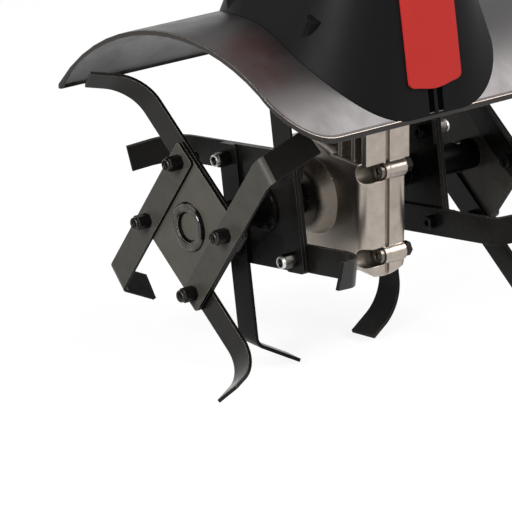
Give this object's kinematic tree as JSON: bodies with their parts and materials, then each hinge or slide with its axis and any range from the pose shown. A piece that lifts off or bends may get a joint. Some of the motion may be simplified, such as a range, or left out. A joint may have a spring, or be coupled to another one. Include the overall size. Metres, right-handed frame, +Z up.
{
  "type": "garden tiller",
  "caption": "Electric garden tiller: bent tine blades on worm-driven rotors under an arched hood, motor with carrying handle above, folding bow handle with switch lever.",
  "frame": {"origin": "on the ground under the middle of the machine's bounding box", "axes": "+X forward, +Y to the machine's left along the tine shaft, +Z up"},
  "size_m": [0.8256, 0.475, 0.966],
  "materials": {
    "black_steel": "semi-gloss black paint",
    "handle_tube": "satin black powder coat",
    "zinc_steel": "bright zinc",
    "cast_aluminium": "as cast",
    "bronze": "cut",
    "laminated_steel": "laminated",
    "red_plastic": "moulded red",
    "soft_rubber": "matt",
    "machine_steel": "turned and ground",
    "black_plastic": "moulded black"
  },
  "bodies": {
    "chassis": {"shaft_bearings": "machine_steel", "worm_lower_bearing": "machine_steel", "worm_upper_bearing": "machine_steel", "motor_top_bearing": "machine_steel", "shaft_seals": "soft_rubber", "gearbox_right_half": "cast_aluminium", "gearbox_left_half": "cast_aluminium", "gearbox_screws": "zinc_steel", "gearbox_nuts": "black_steel", "tine_hood": "black_steel", "motor_housing": "black_plastic", "motor_cover": "red_plastic", "shell_screws": "zinc_steel", "stator": "laminated_steel", "motor_end_bracket": "cast_aluminium", "motor_bolts": "zinc_steel", "lower_handle_tubes": "handle_tube", "socket_bolts": "black_steel", "fold_bolts": "black_steel", "fold_spacers": "black_plastic"},
    "tine_rotor": {"right_inner_inward_blade_1": "black_steel", "right_inner_inward_blade_2": "black_steel", "right_inner_outward_blade_1": "black_steel", "right_inner_outward_blade_2": "black_steel", "right_outer_inward_blade_1": "black_steel", "right_outer_inward_blade_2": "black_steel", "right_outer_outward_blade_1": "black_steel", "right_outer_outward_blade_2": "black_steel", "left_inner_inward_blade_1": "black_steel", "left_inner_inward_blade_2": "black_steel", "left_inner_outward_blade_1": "black_steel", "left_inner_outward_blade_2": "black_steel", "left_outer_inward_blade_1": "black_steel", "left_outer_inward_blade_2": "black_steel", "left_outer_outward_blade_1": "black_steel", "left_outer_outward_blade_2": "black_steel", "right_inner_plate": "black_steel", "right_outer_plate": "black_steel", "left_inner_plate": "black_steel", "left_outer_plate": "black_steel", "tine_bolts": "black_steel", "inner_tine_nuts": "zinc_steel", "outer_tine_nuts": "black_steel", "tine_shaft": "machine_steel", "hub_pins": "machine_steel", "worm_wheel": "bronze"},
    "motor_rotor": {"worm_shaft": "machine_steel", "armature": "laminated_steel", "cooling_fan": "black_plastic"},
    "handle": {"upper_handle": "handle_tube", "handle_grips": "soft_rubber", "switch_box_top": "black_plastic", "switch_box_base": "black_plastic", "switch_block": "black_plastic", "power_inlet": "black_plastic"},
    "right_knob": {"right_clamp_knob": "black_plastic"},
    "left_knob": {"left_clamp_knob": "black_plastic"},
    "lever": {"switch_lever": "black_steel"},
    "button": {"lock_button": "red_plastic"}
  },
  "joints": [
    {"name": "tine_spin", "type": "hinge", "parent": "chassis", "child": "tine_rotor", "pos_m": [0.24144, 0, 0.17132], "axis": [0, 1, 0], "continuous": true},
    {"name": "motor_spin", "type": "hinge", "parent": "chassis", "child": "motor_rotor", "pos_m": [0.28895, 0, 0.17132], "axis": [0, 0, 1], "continuous": true},
    {"name": "handle_fold", "type": "hinge", "parent": "chassis", "child": "handle", "pos_m": [-0.03868, 0, 0.5872], "axis": [0, 1, 0], "range_deg": [0, 135]},
    {"name": "right_knob_turn", "type": "hinge", "parent": "handle", "child": "right_knob", "pos_m": [-0.03868, -0.0909, 0.5872], "axis": [0, 1, 0], "continuous": true},
    {"name": "left_knob_turn", "type": "hinge", "parent": "handle", "child": "left_knob", "pos_m": [-0.03868, 0.0909, 0.5872], "axis": [0, 1, 0], "continuous": true},
    {"name": "lever_squeeze", "type": "hinge", "parent": "handle", "child": "lever", "pos_m": [-0.35296, 0, 0.89537], "axis": [0, 1, 0], "range_deg": [0, 25], "stiffness_Nm_per_rad": 2, "springref_deg": -17.19},
    {"name": "lock_press", "type": "slide", "parent": "handle", "child": "button", "axis": [-0.7193, 0, -0.6947], "range_m": [0, 0.005], "stiffness_N_per_m": 400, "springref_m": -0.002}
  ],
  "couplings": [
    {"joint": "motor_spin", "follows": "tine_spin", "ratio": 14}
  ]
}
